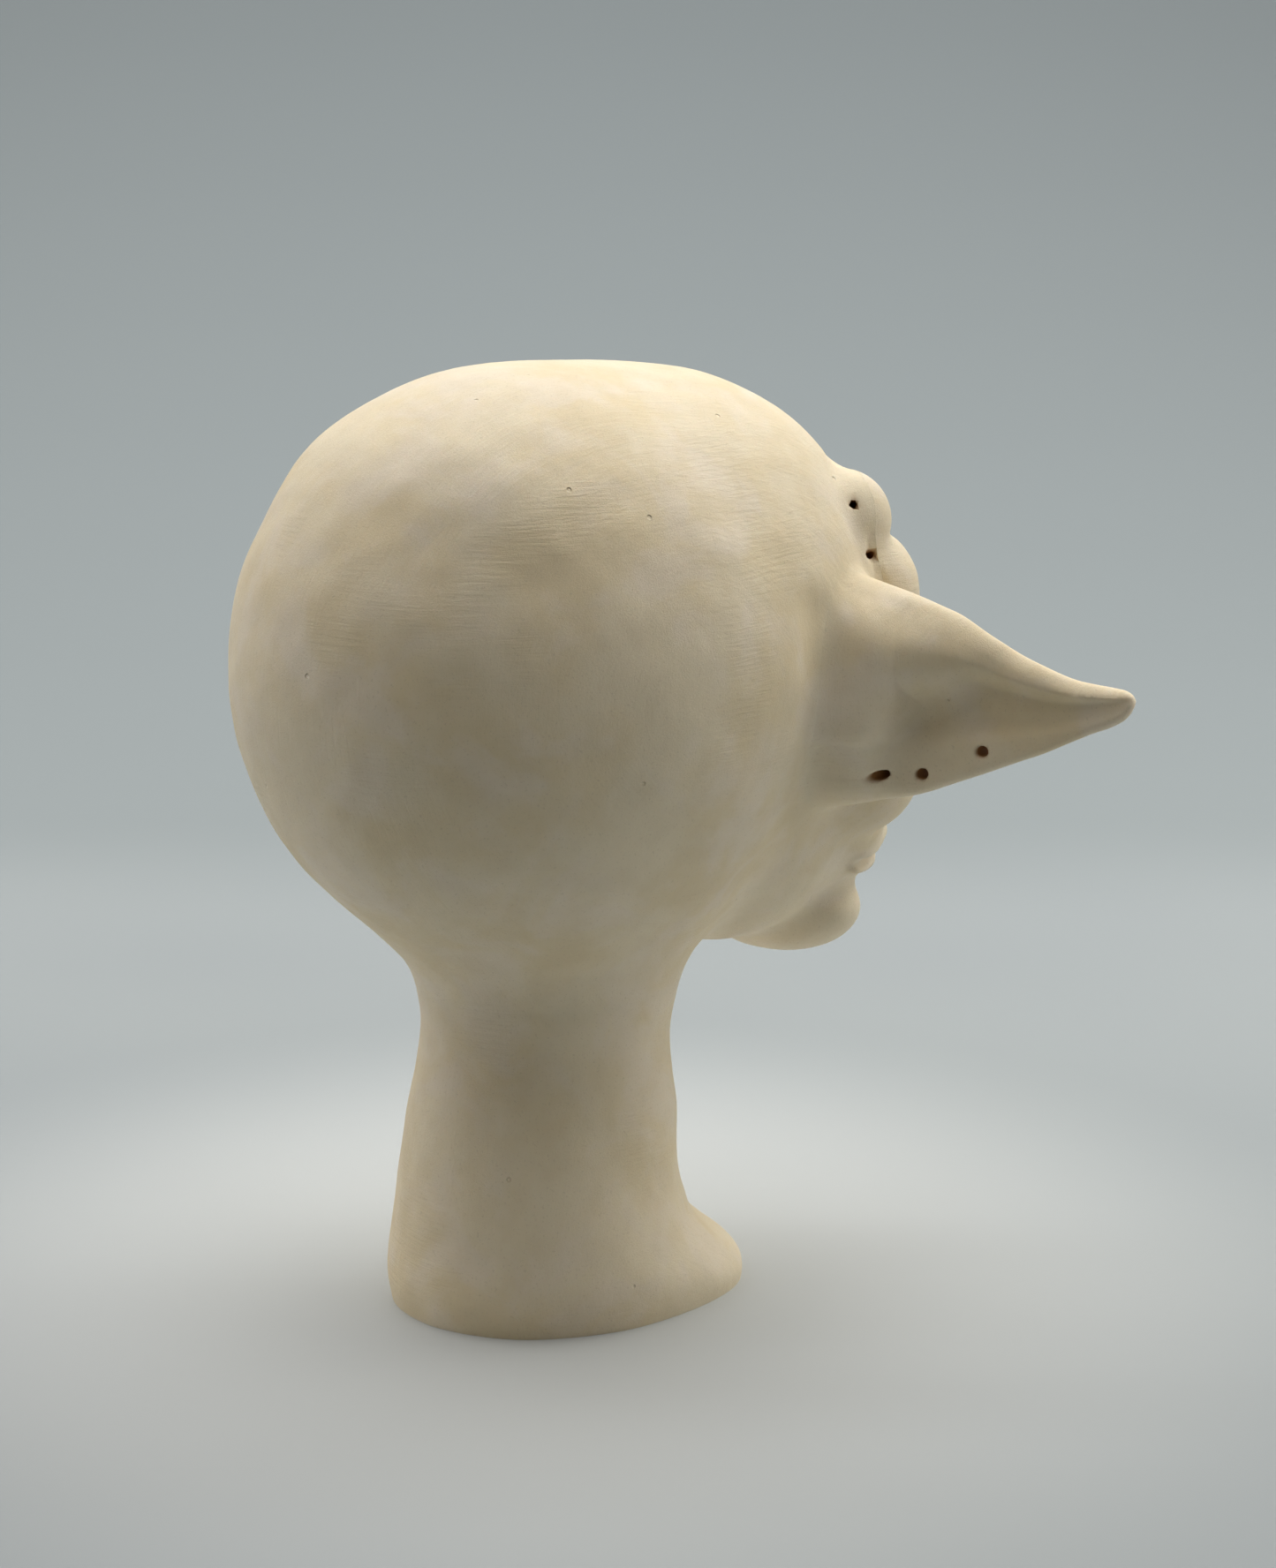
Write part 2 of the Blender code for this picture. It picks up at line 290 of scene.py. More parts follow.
def nose(q, d):
    d = join(d, bar(q, [by_eye(-21, 0, 3), by_nose(0, 9, -19)], [5, 6.5]), 5)
    d = join(d, ball(q, by_nose(0, 8.2, -21.5), (9.4, 8.2, 7.6)), 2.5)
    d = join(d, ball(q, by_nose(8.6, 13.5, -23), (5, 7, 5.2)), 1.6)
    d = carve(d, ball(q, by_nose(4.6, 9.5, -28.6), (2.4, 3.8, 3.6)), 1.2)
    wing = [by_nose(6, 6, -20), by_nose(9, 9, -16.5), by_nose(13, 16, -17), by_nose(14.6, 20, -22)]
    return d + groove(q, wing, 1, 0.8)


def mouth(q, d):
    corner = by_eye(4, 4, -47)
    d = join(d, ball(q, by_lips(0, 17, 3), (24, 15, 12)), 5)
    upper = [by_lips(0, 1.8, 3.4), by_lips(8, 2.2, 4.2), by_lips(17, 8.5, 2), corner]
    lower = [by_lips(0, 2.6, -3.6), by_lips(9, 4.4, -3.6), by_lips(17, 11, -2.8), corner]
    d = join(d, bar(q, upper, [3, 3.2, 2.6, 1]), 1.8)
    d = join(d, bar(q, lower, [3.6, 3.4, 2.2, 0.8]), 1.8)
    d = d + groove(q, [by_lips(0, 0, 0), by_lips(9, 1.5, 0.3), by_lips(18, 8, -0.6), corner], 1.1, 2)
    d = d + groove(q, [corner, by_eye(6, 4, -50)], 1.8, 1.2)
    fold = [by_nose(14.5, 18, -20), by_nose(20, 21, -28), by_nose(25, 25, -36), by_eye(9.5, 3, -47)]
    return d + groove(q, fold, 1.6, 1.3)


def face(q, d):
    d = join(d, ball(q, by_eye(1.5, 3, -27), (13, 11.5, 13.5)), 7)
    d = brows_and_eyes(q, d)
    d = nose(q, d)
    d = mouth(q, d)
    d = join(d, ball(q, by_lips(0, 17.3, -11.8), (19, 13, 10)), 4)
    return d + groove(q, [by_lips(0, 6, -9.5), by_lips(14, 10, -9.5)], 2.2, 0.5)


def head(p):
    """The head and neck without ears."""
    d = join(cranium(p), ball(p, *FOREHEAD), SKULL_FILLET)
    d = join(d, ball(p, *FACE_MASS), FACE_FILLET)
    front = p[..., 1] < FACE_BACK
    d[front] = face(folded(p[front]), d[front])
    return join(d, neck(p), SKULL_FILLET)


# ---- the ears ---------------------------------------------------------------------------------------------

# An ear's upper edge, lower edge and half thickness of its middle, by how far out it is from its root.
EAR_TOP = ((-10, 19), (1, 20.3), (9.5, 18.2), (19, 15.1), (28, 9.9), (34, 6.9), (40, 4.6), (47, 3.6), (51, 3))
EAR_BOTTOM = ((-10, -17), (-4, -18), (9, -18), (24, -13), (34, -9), (43, -4.4), (48, -1.9), (51, 0.4))
EAR_THIN = ((-10, 6), (0, 5), (8, 2.8), (20, 1.4), (40, 1.4), (51, 1.4))
UPPER_RIM = ((-10, 6), (0, 6), (10, 5), (25, 4.1), (40, 2.8), (51, 1.5))
LOWER_RIM = ((-10, 6), (0, 5.4), (10, 3.4), (25, 2.4), (40, 1.8), (51, 1.4))
EAR_END = 50.3
EAR_FILLET = 3
EAR_HOLES = ((9.2, -12.5), (15, -12.8), (25, -8.4))
HOLE_RADIUS = 1
HOLE_SLANT = REARWARD - 0.5 * REACH - np.array((0, 0, 0.25))
HOLE_AHEAD, HOLE_BEHIND = 12, 10  # how far a hole runs each way from the blade's middle
BROW_HOLES = ((27.9, -46.4, 139.6), (31.4, -47.5, 131.3))
BROW_HOLE_RADIUS = 0.8
BROW_HOLE_INWARD = np.array((1.8, 1.44, 0.48))
HOLE_EDGE = 0.4


def ear_place(q):
    """How far out, up and back of the ear's middle a point is."""
    from_root = q - EAR_ROOT.astype(np.float32)
    return from_root @ REACH.astype(np.float32), from_root[..., 2], from_root @ REARWARD.astype(np.float32)


def ear_blade(q):
    """The pointed blade: thin in the middle, with thick rolled rims, and hollowed at its front."""
    out, up, back = ear_place(q)
    top, bottom = curve_at(out, EAR_TOP), curve_at(out, EAR_BOTTOM)
    half = np.maximum((top - bottom) / 2, 0.4)
    level = np.clip((up - (top + bottom) / 2) / half, -1.2, 1.2)
    thin = curve_at(out, EAR_THIN)
    rim = np.where(level > 0, curve_at(out, UPPER_RIM), curve_at(out, LOWER_RIM))
    rolled = smooth((np.abs(level) - 0.22) / 0.36) * (1 - 0.5 * smooth((np.abs(level) - 0.5) / 0.5))
    thick = thin + (rim - thin) * rolled
    edge = shared(np.maximum(up - top, bottom - up) * 0.9, out - EAR_END, 2.5)
    cup = 1.3 * (1 - level**2) * np.clip(out / 14, 0, 1) * np.clip((46 - out) / 20, 0, 1)
    face = np.abs(back + cup) - thick
    bevel = np.minimum(0.8 * rim, half)
    a, b = edge + bevel, face + bevel
    return np.sqrt(np.maximum(a, 0) ** 2 + np.maximum(b, 0) ** 2) + np.minimum(np.maximum(a, b), 0) - bevel


def ear_details(q, d):
    """The swelling behind the ear's root, the hollow in front of it and the furrow beside the head."""
    root = EAR_ROOT
    swelling = [(-1, 3, -12), (1, 4.5, -2), (4, 3.5, 8), (17, 1.2, 7)]
    spine = [root + out * REACH + back * REARWARD + (0, 0, up) for out, back, up in swelling]
    d = join(d, bar(q, spine, [6, 8.5, 8.5, 3.8]), 6)
    d = carve(d, ball(q, root + 7.5 * REACH - 9 * REARWARD + (0, 0, -1), (8, 7, 12)), 3)
    furrow = [(44, -26, 124), (45.5, -25, 108), (43, -28, 93)]
    return d + groove(q, furrow, 4.5, 1.8)


def holes(q):
    """The holes pierced through the ear's lower rim and into the crease behind the brow."""
    nearest = np.full(q.shape[:-1], 1e9, np.float32)
    for out, up in EAR_HOLES:
        middle = EAR_ROOT + out * REACH + (0, 0, up)
        ends = [middle - HOLE_AHEAD * HOLE_SLANT, middle + HOLE_BEHIND * HOLE_SLANT]
        nearest = np.minimum(nearest, bar(q, ends, [HOLE_RADIUS] * 2))
    for entry in np.array(BROW_HOLES):
        ends = [entry - BROW_HOLE_INWARD, entry + BROW_HOLE_INWARD]
        nearest = np.minimum(nearest, bar(q, ends, [BROW_HOLE_RADIUS] * 2))
    return nearest


def crease(q, d):
    """The crease behind the brow, which the two holes lie in."""
    path = [
        (0, -50.5, 149), (12, -49.5, 148), (21, -48, 145.5),
        (28, -46.6, 139.8), (31.6, -47.6, 131.5), (32.5, -49.5, 126),
    ]
    return d + groove(q, path, 0.9, 0.7)


RIPPLES = ((0.2, 26, 1), (0.09, 9, 2), (0.02, 3.4, 3))  # the unevenness of handwork: depth, length and seed


def unpierced(p):
    """The whole outer form of the clay, with the marks of the hands and no holes."""
    q = folded(p)
    d = join(head(p), ear_blade(q), EAR_FILLET)
    d = ear_details(q, d)
    d = crease(q, d)
    for depth, length, seed in RIPPLES:
        d = d + depth * ripples(p, length, seed)
    return d


def clay(p):
    return carve(unpierced(p), holes(folded(p)), HOLE_EDGE)


# ---- the pieces that the clay comes apart into ------------------------------------------------------------

# Where the face meets the skull, from above the brow to below the jaw, as (y, z).
SEAM = ((-75, 150), (-57, 147.5), (-49.5, 144), (-48.5, 136), (-50, 126), (-50, 92), (-41, 72), (-33, 59))
FRONT = [*SEAM, (-33, 40), (-110, 40), (-110, 150)]
NECK_TOP = box_mm("neck_column")[1][2]
NECK_JOINT_RADIUS = 29
NECK_JOINT_LOW = 50  # all the clay below this height is the neck's
EAR_MIDDLE_OUT = (20, 5, 0)  # the middle of the oval that holds an ear: out from its root, back and up
EAR_OVAL = (34, 13, 27)
LAP = 0.01  # how far a piece of clay laps over the wall that it shares with its neighbour
HIDDEN_GAP = 0.3  # how far the skull, face and ears keep off what lies inside them
POST_GAP = 0.1  # and the neck off its post and disc


def in_front(p):
    return outline(p[..., 1], p[..., 2], FRONT)


def in_neck(p):
    radius = np.sqrt(p[..., 0] ** 2 + p[..., 1] ** 2)
    plug = np.maximum(p[..., 2] - NECK_TOP, radius - NECK_JOINT_RADIUS)
    return np.minimum(p[..., 2] - NECK_JOINT_LOW, plug)


def in_ear(p, side):
    q = p * np.array((side, 1, 1), np.float32)
    out, up, back = ear_place(q)
    return ball(np.stack([out, back, up], axis=-1), EAR_MIDDLE_OUT, EAR_OVAL)


def core(p):
    return ball(p, CORE, CORE_RADII)


def eyeballs(p):
    return ball(folded(p), EYE, [EYE_RADIUS] * 3)


def post(p):
    radius = np.sqrt(p[..., 0] ** 2 + p[..., 1] ** 2)
    shaft = np.maximum(radius - POST_RADIUS, p[..., 2] - POST_TOP)
    return np.minimum(shaft, np.maximum(radius - DISC_RADIUS, p[..., 2] - DISC_TOP))


def rods(p):
    """The wires and pins inside the clay. The wires lie along the ear's reach and the pins front to back."""
    nearest = np.full(p.shape[:-1], 1e9, np.float32)
    for node in frame["nodes"]:
        if node.startswith("face_pin"):
            middle, half = middle_mm(node), radii_mm(node)
            ends = [middle - (0, half[1], 0), middle + (0, half[1], 0)]
            nearest = np.minimum(nearest, bar(p, ends, [half[0]] * 2))
        elif node.startswith("ear_wire"):
            middle, half = middle_mm(node), radii_mm(node)
            way = REACH * np.array((np.sign(middle[0]), 1, 1)) * (half[0] / REACH[0])
            nearest = np.minimum(nearest, bar(p, [middle - way, middle + way], [half[2]] * 2))
    return nearest


# ---- meshes -----------------------------------------------------------------------------------------------

MARGIN = 9  # how far past its CAD node's box a piece may reach
BLOCK = 6  # cells along each side of the blocks that are searched for the surface
SLOPE_STEP = 0.04
SHARP_ANGLE = math.radians(42)
HOLE_SHADE_REACH = 0.3  # how near a hole's wall the clay gets painted shade
HOLE_SHADE_DEPTH = 0.8  # how deep in a hole the painted shade is full


def sampled(field, low, count, step):
    """The field on a grid. Only the blocks near its surface are worked out point by point."""
    blocks = -(-count // BLOCK)
    corner = np.stack(np.meshgrid(*(np.arange(n) for n in blocks), indexing="ij"), axis=-1).reshape(-1, 3)
    middle = field((low + (corner + 0.5) * BLOCK * step).astype(np.float32))
    values = np.repeat(middle.reshape(blocks), BLOCK, 0).repeat(BLOCK, 1).repeat(BLOCK, 2)
    values = np.pad(values, ((0, 1), (0, 1), (0, 1)), mode="edge").astype(np.float32)
    close = corner[np.abs(middle) < 1.3 * BLOCK * step + 1] * BLOCK
    local = np.stack(np.meshgrid(*[np.arange(BLOCK + 1)] * 3, indexing="ij"), axis=-1).reshape(-1, 3)
    for part in np.array_split(close, max(1, len(close) // 400)):
        index = part[:, None] + local
        values[tuple(np.moveaxis(index, -1, 0))] = field((low + index * step).astype(np.float32))
    return np.pad(values[1:-1, 1:-1, 1:-1], 1, constant_values=step)


def surface_net(values):
    """Points and four-sided faces of the surface where the values pass through zero, in grid units."""
    solid = values < 0
    total = np.zeros((*(np.array(values.shape) - 1), 4), np.float32)
    crossings = []
    for axis in range(3):
        first = tuple(slice(0, -1) if i == axis else slice(None) for i in range(3))
        second = tuple(slice(1, None) if i == axis else slice(None) for i in range(3))
        edges = np.argwhere(solid[first] != solid[second])
        a, b = values[first][tuple(edges.T)], values[second][tuple(edges.T)]
        place = edges.astype(np.float32)
        place[:, axis] += a / (a - b)
        others = [i for i in range(3) if i != axis]
        cells = []
        for left, right in ((0, 0), (1, 0), (1, 1), (0, 1)):
            cell = edges.copy()
            cell[:, others[0]] -= left
            cell[:, others[1]] -= right
            np.add.at(total, tuple(cell.T), np.concatenate([place, np.ones((len(place), 1))], axis=1))
            cells.append(cell)
        crossings.append((cells, (a < 0) != (axis == 1)))
    used = total[..., 3] > 0
    number = np.full(used.shape, -1)
    number[used] = np.arange(used.sum())
    faces = []
    for cells, forward in crossings:
        quads = np.stack([number[tuple(cell.T)] for cell in cells], axis=1)
        faces.append(np.where(forward[:, None], quads[:, ::-1], quads))
    return total[used][:, :3] / total[used][:, 3:], np.concatenate(faces)


def settled(points, fields, reach):
    """Points moved onto the surface of each field that they are within reach of, so that edges are sharp."""
    points = points.astype(np.float32)
    for _ in range(4):
        for field in fields:
            values = field(points)
            close = np.abs(values) < reach
            spot, value = points[close], values[close]
            shifts = np.eye(3, dtype=np.float32) * SLOPE_STEP
            slope = np.stack([field(spot + shift) - value for shift in shifts], axis=-1)
            slope /= SLOPE_STEP
            move = slope * (value / np.maximum((slope**2).sum(-1), 0.05))[:, None]
            points[close] = spot - np.clip(move, -reach, reach)
    return points


def sculpted(name, walls, step):
    """The mesh of the clay that lies inside the walls, in the box of its CAD node."""

    def inside(p):
        d = walls[0](p)
        for wall in walls[1:]:
            d = np.maximum(d, wall(p))
        close = d < 2 * step
        d[close] = np.maximum(d[close], clay(p[close]))
        return d

    low, high = box_mm(name)
    low, high = low - MARGIN, high + MARGIN
    low[2] = max(low[2], -step * 1.5)
    count = np.ceil((high - low) / step).astype(int)
    points, faces = surface_net(sampled(inside, low, count, step))
    points = settled(points * step + low, [clay, *walls], 0.9 * step)
    mesh = bpy.data.meshes.new(name)
    mesh.from_pydata((points * MM).tolist(), [], faces.tolist())
    mesh.shade_smooth()
    mesh.set_sharp_from_angle(angle=SHARP_ANGLE)
    # Painted shade: clay inside the holes gets a dark brown weight that grows with depth in the hole.
    depth = np.where(holes(folded(points)) < HOLE_SHADE_REACH, -unpierced(points), 0)
    hole_shade = mesh.attributes.new("hole_shade", "FLOAT", "POINT")
    hole_shade.data.foreach_set("value", np.clip(depth / HOLE_SHADE_DEPTH, 0, 1).astype(np.float32))
    return placed(name, mesh)


def placed(node, mesh):
    """The mesh as the piece that is shown in place of a clay CAD node."""
    piece = bpy.data.objects.new(node + "_clay", mesh)
    bpy.context.scene.collection.objects.link(piece)
    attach(piece, "root")
    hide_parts(node)
    return piece


def outside_of(field, gap):
    return lambda p: gap - field(p)


def shrunk(field, gap):
    return lambda p: field(p) + gap


def ear_side(side):
    return lambda p: in_ear(p, side)


def ground(p):
    return -p[..., 2]


def make_clay():
    ears = {"ear_left": ear_side(1), "ear_right": ear_side(-1)}
    clear_of_ears = [outside_of(ear, -LAP) for ear in ears.values()]
    clear_of_core, clear_of_eyes, clear_of_post, clear_of_rods = (
        outside_of(field, HIDDEN_GAP) for field in (core, eyeballs, post, rods)
    )
    hollows = [clear_of_core, clear_of_eyes, clear_of_post, clear_of_rods]
    # An ear has the core's wall first and last, so that the clay where a wire leaves the core settles on it.
    ear_hollows = [clear_of_core, clear_of_rods, clear_of_core]
    walls = {
        "skull_shell": [*clear_of_ears, outside_of(in_front, -LAP), outside_of(in_neck, -LAP), *hollows],
        "face_shell": [*clear_of_ears, shrunk(in_front, -LAP), outside_of(in_neck, -LAP), *hollows],
        "neck_column": [shrunk(in_neck, -LAP), ground, outside_of(post, POST_GAP)],
        **{name: [shrunk(ear, -LAP), *ear_hollows] for name, ear in ears.items()},
    }
    steps = {"skull_shell": 0.95, "face_shell": 0.52, "neck_column": 0.6, "ear_left": 0.42, "ear_right": 0.42}
    return [sculpted(name, piece_walls, steps[name]) for name, piece_walls in walls.items()]


IRIS, PUPIL = math.radians(27), math.radians(9)  # how far round from the look each reaches
IRIS_WIDTH = 0.035
IRIS_DEPTH, PUPIL_DEPTH = 0.3, 0.8
EYE_SEGMENTS = 96


def make_eyes():
    """The eyeballs, with the ring of the iris and the pupil pressed into the clay."""
    for node in ("eye_left", "eye_right"):
        centre = middle_mm(node)
        look = Vector(EYE_LOOK * (np.sign(centre[0]), 1, 1)).to_track_quat("Z", "Y")
        bm = bmesh.new()
        bmesh.ops.create_uvsphere(bm, u_segments=EYE_SEGMENTS, v_segments=EYE_SEGMENTS, radius=1)
        for vert in bm.verts:
            angle = vert.co.angle((0, 0, 1))
            ring = IRIS_DEPTH * math.exp(-(((angle - IRIS) / IRIS_WIDTH) ** 2))
            pit = PUPIL_DEPTH * math.exp(-((angle / PUPIL) ** 2))
            vert.co = (look @ vert.co * (EYE_RADIUS - (ring + pit)) + Vector(centre)) * MM
        mesh = bpy.data.meshes.new(node)
        bm.to_mesh(mesh)
        mesh.shade_smooth()
        yield placed(node, mesh)


# ---- materials --------------------------------------------------------------------------------------------


class Nodes:
    """Builds a node material whose textures are measured in millimetres of the object."""

    def __init__(self, name, roughness, metallic=0.0, specular=0.5):
        self.material = bpy.data.materials.new(name)
        self.material.use_nodes = True
        self.tree = self.material.node_tree
        self.shader = self.tree.nodes["Principled BSDF"]
        self.shader.inputs["Metallic"].default_value = metallic
        self.shader.inputs["Specular IOR Level"].default_value = specular
        self.shader.inputs["Roughness"].default_value = roughness
        self.place = self.add("ShaderNodeTexCoord").outputs["Object"]

    def add(self, kind, **settings):
        node = self.tree.nodes.new(kind)
        for name, value in settings.items():
            setattr(node, name, value)
        return node

    def set(self, socket, value):
        if isinstance(value, bpy.types.NodeSocket):
            self.tree.links.new(value, socket)
        else:
            socket.default_value = value

    def stretched(self, scale, turn=(0, 0, 0)):
        """Coordinates in mm, squeezed along each axis by the scale."""
        mapping = self.add("ShaderNodeMapping", vector_type="POINT")
        self.set(mapping.inputs["Vector"], self.place)
        mapping.inputs["Rotation"].default_value = turn
        mapping.inputs["Scale"].default_value = [s / MM for s in scale]
        return mapping.outputs["Vector"]

    def noise(self, scale, detail=3, roughness=0.55, distortion=0.0, turn=(0, 0, 0)):
        node = self.add("ShaderNodeTexNoise")
        self.set(node.inputs["Vector"], self.stretched(scale, turn))
        node.inputs["Scale"].default_value = 1
        node.inputs["Detail"].default_value = detail
        node.inputs["Roughness"].default_value = roughness
        node.inputs["Distortion"].default_value = distortion
        return node.outputs["Fac"]

    def cells(self, scale):
        node = self.add("ShaderNodeTexVoronoi")
        self.set(node.inputs["Vector"], self.stretched(scale))
        node.inputs["Scale"].default_value = 1
        return node

    def ramp(self, value, low, high, to_low=0.0, to_high=1.0):
        node = self.add("ShaderNodeMapRange", interpolation_type="SMOOTHSTEP")
        self.set(node.inputs["Value"], value)
        for name, number in (("From Min", low), ("From Max", high), ("To Min", to_low), ("To Max", to_high)):
            node.inputs[name].default_value = number
        return node.outputs["Result"]

    def math(self, operation, a, b=0.0):
        node = self.add("ShaderNodeMath", operation=operation)
        self.set(node.inputs[0], a)
        self.set(node.inputs[1], b)
        return node.outputs[0]

    def mix(self, factor, a, b, blend="MIX"):
        node = self.add("ShaderNodeMix", data_type="RGBA", blend_type=blend)
        colour_inputs = [socket for socket in node.inputs if socket.type == "RGBA"]
        self.set(node.inputs["Factor"], factor)
        for socket, colour in zip(colour_inputs, (a, b)):
            self.set(socket, colour if isinstance(colour, bpy.types.NodeSocket) else (*colour, 1))
        return next(socket for socket in node.outputs if socket.type == "RGBA")

    def bump(self, height, depth_mm, under=None):
        node = self.add("ShaderNodeBump")
        node.inputs["Strength"].default_value = 1
        node.inputs["Distance"].default_value = depth_mm * MM
        self.set(node.inputs["Height"], height)
        if under is not None:
            self.set(node.inputs["Normal"], under)
        return node.outputs["Normal"]

    def finish(self, colour, normal, roughness=None):
        self.set(self.shader.inputs["Base Color"], colour)
        self.set(self.shader.inputs["Normal"], normal)
        if roughness is not None:
            self.set(self.shader.inputs["Roughness"], roughness)
        return self.material


CREAM = (0.79, 0.685, 0.50)
OCHRE = (0.74, 0.61, 0.39)
ROSE = (0.80, 0.70, 0.565)
SMUDGE = (0.60, 0.50, 0.34)
SPECK = (0.50, 0.41, 0.28)
# The dark brown of the painted shade inside the holes.
HOLE_SHADE = (0.30, 0.14, 0.04)
FOAM_BEAD, FOAM_SEAM = (0.9, 0.91, 0.91), (0.74, 0.77, 0.79)
BEECH_PALE, BEECH_RING, BEECH_FLECK = (0.67, 0.47, 0.28), (0.52, 0.33, 0.17), (0.36, 0.2, 0.09)
STEEL_BRIGHT, STEEL_DULL = (0.6, 0.6, 0.61), (0.5, 0.5, 0.5)
FLOOR_DARK, FLOOR_PALE = (0.30, 0.325, 0.335), (0.32, 0.345, 0.35)
# The floor's paler colour near the object is painted light, in place of the shadow there.
FLOOR_PAINTED_LIGHT = (0.53, 0.55, 0.548)
BACKDROP = (0.265, 0.292, 0.298)


def clay_material():
    n = Nodes("clay", roughness=0.62, specular=0.3)
    n.shader.inputs["Subsurface Weight"].default_value = 0.12
    n.shader.inputs["Subsurface Radius"].default_value = (1, 0.55, 0.3)
    n.shader.inputs["Subsurface Scale"].default_value = 1.5 * MM
    ochre = n.ramp(n.noise((0.045,) * 3, detail=4), 0.4, 0.62)
    rose = n.ramp(n.noise((0.07,) * 3, detail=5, distortion=0.6), 0.46, 0.66)
    cloud = n.ramp(n.noise((0.16,) * 3, detail=5), 0.35, 0.7)
    specks = n.ramp(n.noise((2.4,) * 3, detail=2), 0.6, 0.72)
    colour = n.mix(n.math("MULTIPLY", ochre, 0.7), CREAM, OCHRE)
    colour = n.mix(n.math("MULTIPLY", rose, 0.62), colour, ROSE)
    colour = n.mix(n.math("MULTIPLY", cloud, 0.16), colour, SMUDGE)
    colour = n.mix(n.math("MULTIPLY", specks, 0.3), colour, SPECK)
    # Painted shade: the insides of the holes are painted dark brown, by the weight stored on the mesh.
    hole_shade = n.add("ShaderNodeAttribute", attribute_name="hole_shade").outputs["Fac"]
    colour = n.mix(hole_shade, colour, HOLE_SHADE)
    strokes = n.noise((0.10, 0.14, 1.5), detail=4, roughness=0.6, distortion=0.35, turn=(0.15, -0.1, 0.3))
    brushed = n.ramp(n.noise((0.04,) * 3, detail=2), 0.47, 0.63)
    strokes = n.math("MULTIPLY", strokes, brushed)
    cross = n.noise((1.7, 0.16, 0.2), detail=4, roughness=0.65, distortion=0.3, turn=(0.1, 0.6, 0.9))
    grain = n.noise((3.0,) * 3, detail=4, roughness=0.75)
    normal = n.bump(strokes, 0.16)
    normal = n.bump(cross, 0.09, normal)
    normal = n.bump(grain, 0.07, normal)
    pits = n.cells((0.13,) * 3)
    chosen = n.ramp(n.noise((0.13,) * 3, detail=0), 0.5, 0.6)
    pit = n.math("MULTIPLY", n.ramp(pits.outputs["Distance"], 0.03, 0.07, 1, 0), chosen)
    normal = n.bump(pit, -0.3, normal)
    return n.finish(colour, normal, n.ramp(n.noise((0.4,) * 3, detail=3), 0.3, 0.7, 0.52, 0.72))


def foam_material():
    n = Nodes("foam", roughness=0.85)
    beads = n.cells((0.35,) * 3).outputs["Distance"]
    colour = n.mix(n.ramp(beads, 0.2, 0.7), FOAM_BEAD, FOAM_SEAM)
    return n.finish(colour, n.bump(beads, -0.6))


def beech_material():
    n = Nodes("beech", roughness=0.5)
    rings = n.noise((0.9, 0.9, 0.03), detail=5, distortion=0.5)
    flecks = n.ramp(n.noise((2.2, 2.2, 0.35), detail=2), 0.6, 0.72)
    colour = n.mix(n.ramp(rings, 0.35, 0.65), BEECH_PALE, BEECH_RING)
    colour = n.mix(n.math("MULTIPLY", flecks, 0.5), colour, BEECH_FLECK)
    return n.finish(colour, n.bump(rings, 0.08))


def steel_material():
    n = Nodes("steel", roughness=0.3, metallic=1.0)
    drawn = n.noise((6, 6, 6), detail=2)
    colour = n.mix(n.ramp(drawn, 0.3, 0.7), STEEL_BRIGHT, STEEL_DULL)
    return n.finish(colour, n.bump(drawn, 0.01))


def sweep_material(away):
    """Pale paper, darker where the backdrop begins, with painted light near the object that hides the shadow
    there.
    """
    n = Nodes("sweep", roughness=0.6, specular=0.25)
    along = n.add("ShaderNodeVectorMath", operation="DOT_PRODUCT")
    n.set(along.inputs[0], n.place)
    along.inputs[1].default_value = away
    behind = n.ramp(along.outputs["Value"], 0.24, 0.36)
    cloud = n.ramp(n.noise((0.004,) * 3, detail=2), 0.3, 0.7)
    floor = n.mix(cloud, FLOOR_DARK, FLOOR_PALE)
    # Painted light: the floor is painted paler near the object, where the lights cast a shadow.
    reach = n.add("ShaderNodeVectorMath", operation="LENGTH")
    n.set(reach.inputs[0], n.place)
    floor = n.mix(n.ramp(reach.outputs["Value"], 0.05, 0.17), FLOOR_PAINTED_LIGHT, floor)
    colour = n.mix(behind, floor, BACKDROP)
    return n.finish(colour, n.bump(n.noise((0.5,) * 3), 0.02))


# ---- the studio -------------------------------------------------------------------------------------------

AZIMUTH, ELEVATION = math.radians(230), math.radians(13)
DISTANCE = 0.6
FOCAL_IN_IMAGE_HEIGHTS = 2.2
AIM_HEIGHT = 0.556  # as a share of the object's height
AIM_ASIDE = 0.0164  # metres to the right
SENSOR_WIDTH = 36


def view_axes():
    """The way from the object to the camera, that way made level, and the camera's right."""
    level = Vector((math.sin(AZIMUTH), -math.cos(AZIMUTH), 0))
    back = level * math.cos(ELEVATION) + Vector((0, 0, math.sin(ELEVATION)))
    right = Vector((math.cos(AZIMUTH), math.sin(AZIMUTH), 0))
    return back, level, right


def make_camera():
    back, _, right = view_axes()
    aim = Vector((0, 0, CAD_BOUNDS[1][2] * AIM_HEIGHT)) + right * AIM_ASIDE
    camera = bpy.data.cameras.new("camera")
    camera.sensor_width = SENSOR_WIDTH
    camera.lens = SENSOR_WIDTH * FOCAL_IN_IMAGE_HEIGHTS
    obj = bpy.data.objects.new("camera", camera)
    obj.location = aim + back * DISTANCE
    obj.rotation_euler = back.to_track_quat("Z", "Y").to_euler()
    bpy.context.scene.collection.objects.link(obj)
    bpy.context.scene.camera = obj


def area_light(name, place, aim, size, watts, colour):
    light = bpy.data.lights.new(name, "AREA")
    light.shape = "RECTANGLE"
    light.size, light.size_y = size
    light.energy = watts
    light.color = colour
    obj = bpy.data.objects.new(name, light)
    obj.visible_camera = False
    obj.location = place
    obj.rotation_euler = (Vector(place) - Vector(aim)).to_track_quat("Z", "Y").to_euler()
    bpy.context.scene.collection.objects.link(obj)


WORLD_STRENGTH = 0.095


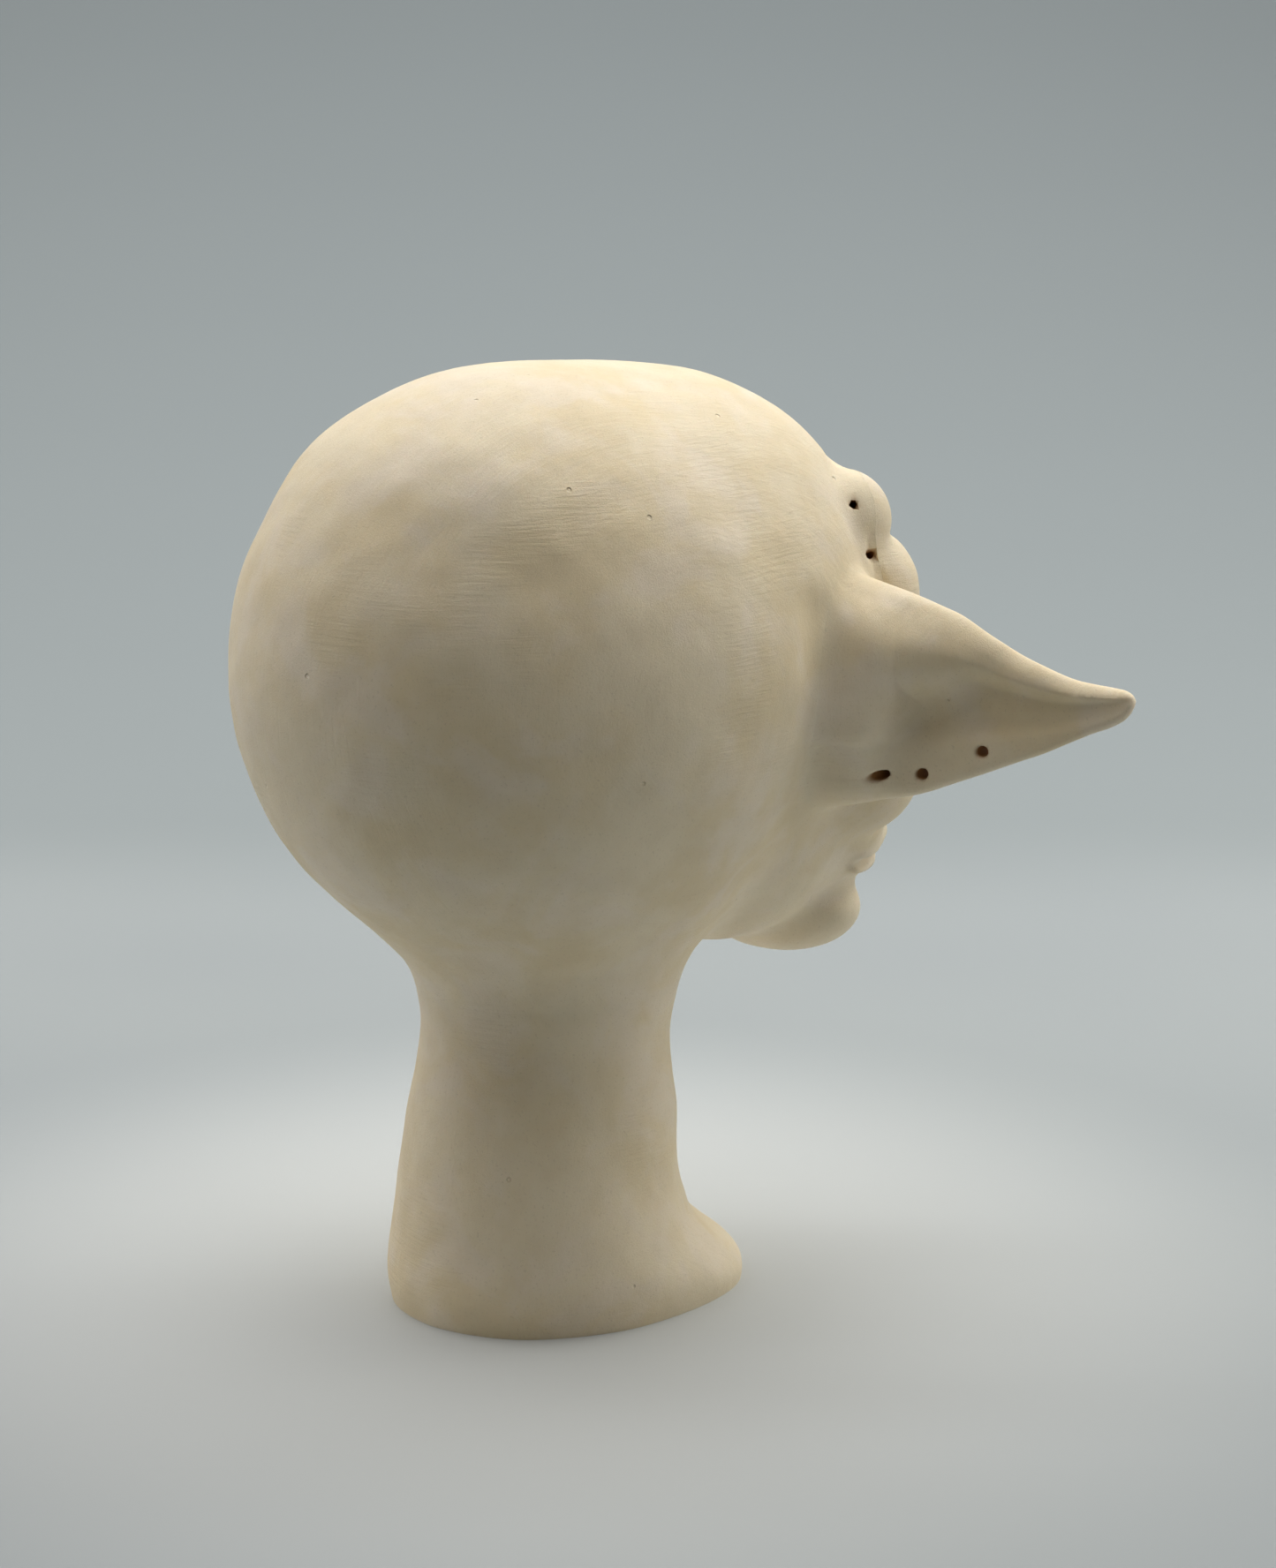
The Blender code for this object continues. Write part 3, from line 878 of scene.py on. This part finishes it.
def make_lights():
    _, level, right = view_axes()
    up = Vector((0, 0, 1))
    middle = up * 0.1
    lights = [
        ("overhead", -level * 0.2 + up * 0.75, (1.6, 1.4), 12.4, (1, 0.985, 0.965)),
        ("left", -right * 0.65 - level * 0.15, (0.5, 0.6), 1.65, (1, 0.97, 0.95)),
        ("right", right * 0.65 - level * 0.1 + up * 0.06, (0.5, 0.6), 1.35, (1, 0.98, 0.92)),
        ("high_right", right * 0.5 - level * 0.3 + up * 0.5, (0.4, 0.4), 1.2, (1, 0.98, 0.92)),
    ]
    for name, place, size, watts, colour in lights:
        area_light(name, middle + place, middle, size, watts, colour)
    wall = -level * 1.2 + up * 0.4
    area_light("backdrop", -level * 0.45 + up * 1.2, wall, (1.6, 0.5), 9.5, (0.96, 0.985, 1))
    world = bpy.data.worlds.new("studio")
    world.use_nodes = True
    background = world.node_tree.nodes["Background"]
    background.inputs["Color"].default_value = (1, 0.95, 0.86, 1)
    background.inputs["Strength"].default_value = WORLD_STRENGTH
    bpy.context.scene.world = world


def make_sweep():
    """A floor that curves up into a backdrop behind the object, as the camera sees it."""
    _, level, right = view_axes()
    away = -level
    ahead, radius, depth, half_width, height = -3, 1.2, 0.45, 3.0, 1.8
    profile = [(ahead, 0), (depth, 0)]
    turns = 16
    profile += [
        (depth + radius * math.sin(a), radius - radius * math.cos(a))
        for a in (math.pi / 2 * i / turns for i in range(1, turns + 1))
    ]
    profile.append((depth + radius, height))
    sides = (-half_width, half_width)
    points = [away * far + Vector((0, 0, up)) + right * side for far, up in profile for side in sides]
    faces = [(2 * i, 2 * i + 1, 2 * i + 3, 2 * i + 2) for i in range(len(profile) - 1)]
    mesh = bpy.data.meshes.new("sweep")
    mesh.from_pydata(points, [], faces)
    mesh.shade_smooth()
    mesh.materials.append(sweep_material(away))
    obj = bpy.data.objects.new("sweep", mesh)
    bpy.context.scene.collection.objects.link(obj)


def finish_nodes(finishes):
    """Gives the CAD nodes that stay as they are their fine materials."""
    slots = {part["node"]: part["material_slot"] for part in frame["record"]["subparts"]}
    for name, node in frame["nodes"].items():
        node.data.materials.clear()
        node.data.materials.append(finishes[slots[name]])


def main():
    makers = {"clay": clay_material, "foam": foam_material, "beech": beech_material, "steel": steel_material}
    finishes = {slot: make() for slot, make in makers.items()}
    finish_nodes(finishes)
    for piece in [*make_clay(), *make_eyes()]:
        piece.data.materials.append(finishes["clay"])
    make_sweep()
    make_lights()
    make_camera()
    bpy.context.scene.view_settings.view_transform = "Standard"


main()
